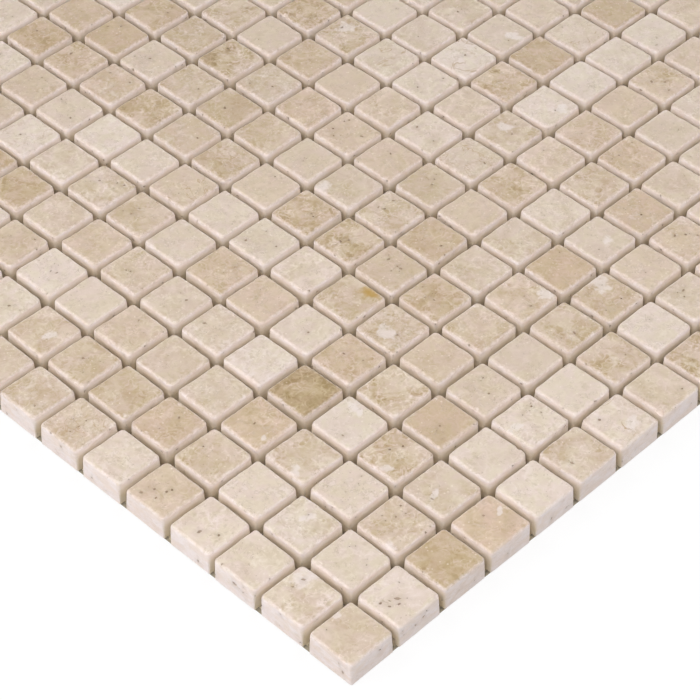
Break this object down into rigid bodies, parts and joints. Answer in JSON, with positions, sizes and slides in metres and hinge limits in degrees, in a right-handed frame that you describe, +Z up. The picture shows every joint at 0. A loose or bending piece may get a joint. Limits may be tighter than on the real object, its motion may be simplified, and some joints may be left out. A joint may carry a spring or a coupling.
{
  "type": "mosaic tile sheet",
  "caption": "Square sheet of small tumbled travertine mosaic tiles with open joints, held together by a glass-fibre net on their backs.",
  "frame": {"origin": "middle of the sheet, on the level of the net's underside, which the sheet lies on", "axes": "+Z up out of the tiles' faces, +X along a row of tiles, +Y from row to row"},
  "size_m": [0.304, 0.304, 0.008],
  "materials": {
    "travertine": "tumbled",
    "glass_fibre_net": "coated yarn"
  },
  "bodies": {
    "root": {"tile_row_01": "travertine", "tile_row_02": "travertine", "tile_row_03": "travertine", "tile_row_04": "travertine", "tile_row_05": "travertine", "tile_row_06": "travertine", "tile_row_07": "travertine", "tile_row_08": "travertine", "tile_row_09": "travertine", "tile_row_10": "travertine", "tile_row_11": "travertine", "tile_row_12": "travertine", "tile_row_13": "travertine", "tile_row_14": "travertine", "tile_row_15": "travertine", "tile_row_16": "travertine", "tile_row_17": "travertine", "tile_row_18": "travertine", "net_warp": "glass_fibre_net", "net_weft": "glass_fibre_net"}
  },
  "joints": []
}
